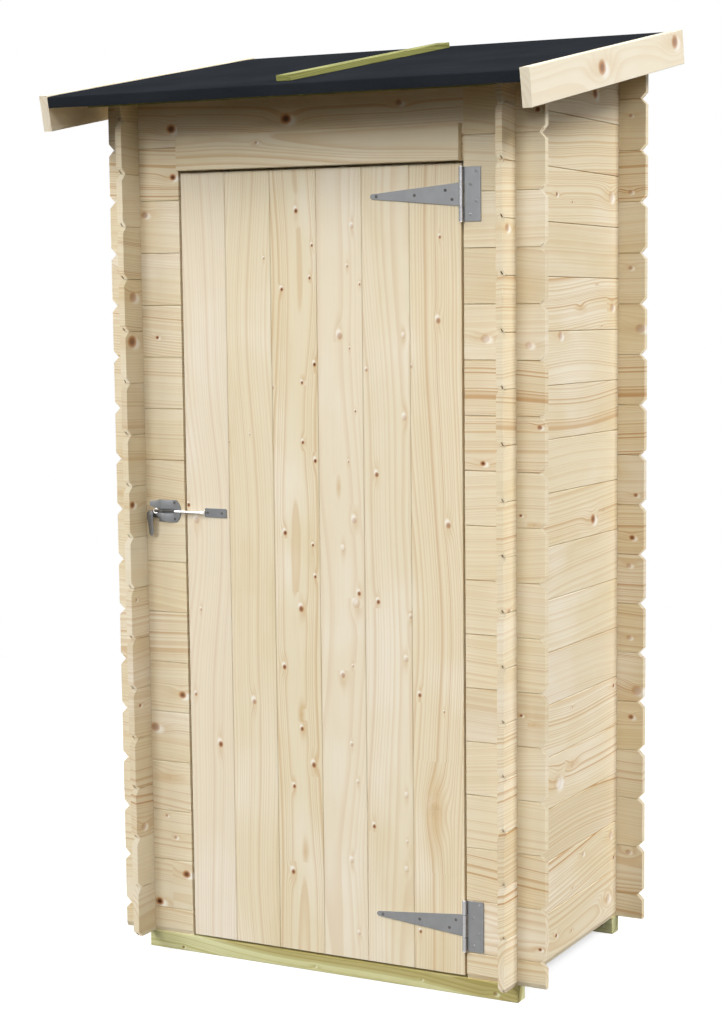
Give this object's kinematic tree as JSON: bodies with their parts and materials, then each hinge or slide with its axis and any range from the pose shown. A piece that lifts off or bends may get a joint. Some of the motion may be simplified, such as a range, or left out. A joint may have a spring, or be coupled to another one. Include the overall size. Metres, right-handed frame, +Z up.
{
  "type": "lean-to garden shed",
  "caption": "Narrow lean-to tool shed of interlocking wall boards with a strap-hinged plank door, gate latch, felted roof and treated ground beams.",
  "frame": {"origin": "on the ground, under the middle of the whole shed's box", "axes": "+X to the right along the front, seen from outside; +Y to the back; +Z up"},
  "size_m": [1.216, 0.8916, 2.1878],
  "materials": {
    "wall_wood": "planed untreated softwood with knots",
    "door_wood": "planed untreated softwood, grain upright",
    "trim_wood": "planed untreated softwood",
    "frame_wood": "planed untreated softwood",
    "floor_wood": "planed untreated softwood",
    "deck_wood": "planed untreated softwood",
    "treated_wood": "pressure treated, greenish",
    "roofing_felt": "charcoal bitumen felt with fine mineral grit",
    "zinc_steel": "dull bright-zinc plated pressed steel"
  },
  "bodies": {
    "root": {"ground_beam_front": "treated_wood", "ground_beam_rear": "treated_wood", "floor_boards": "floor_wood", "front_wall_left": "wall_wood", "front_wall_right": "wall_wood", "front_wall_over_door": "wall_wood", "side_wall_left": "wall_wood", "side_wall_right": "wall_wood", "back_wall": "wall_wood", "door_post_left": "frame_wood", "door_post_right": "frame_wood", "door_head": "frame_wood", "lintel_board": "trim_wood", "roof_deck": "deck_wood", "roof_felt": "roofing_felt", "bargeboard_left": "trim_wood", "bargeboard_right": "trim_wood", "felt_batten": "treated_wood", "eave_batten_front": "treated_wood", "eave_batten_rear": "treated_wood", "hinge_plate_upper": "zinc_steel", "hinge_plate_lower": "zinc_steel", "hinge_pin_upper": "zinc_steel", "hinge_pin_lower": "zinc_steel", "latch_case": "zinc_steel"},
    "door": {"door_planks": "door_wood", "door_ledge_top": "frame_wood", "door_ledge_middle": "frame_wood", "door_ledge_bottom": "frame_wood", "door_brace_upper": "frame_wood", "door_brace_lower": "frame_wood", "hinge_strap_upper": "zinc_steel", "hinge_strap_lower": "zinc_steel", "latch_striker": "zinc_steel"},
    "latch_lever": {"latch_lever": "zinc_steel"}
  },
  "joints": [
    {"name": "door_swing", "type": "hinge", "parent": "root", "child": "door", "pos_m": [0.363, -0.26091, 0.161], "axis": [0, 0, 1], "range_deg": [0, 135]},
    {"name": "latch_lever_turn", "type": "hinge", "parent": "root", "child": "latch_lever", "pos_m": [-0.452, -0.27391, 1.0525], "axis": [0, -1, 0], "range_deg": [0, 45]}
  ]
}
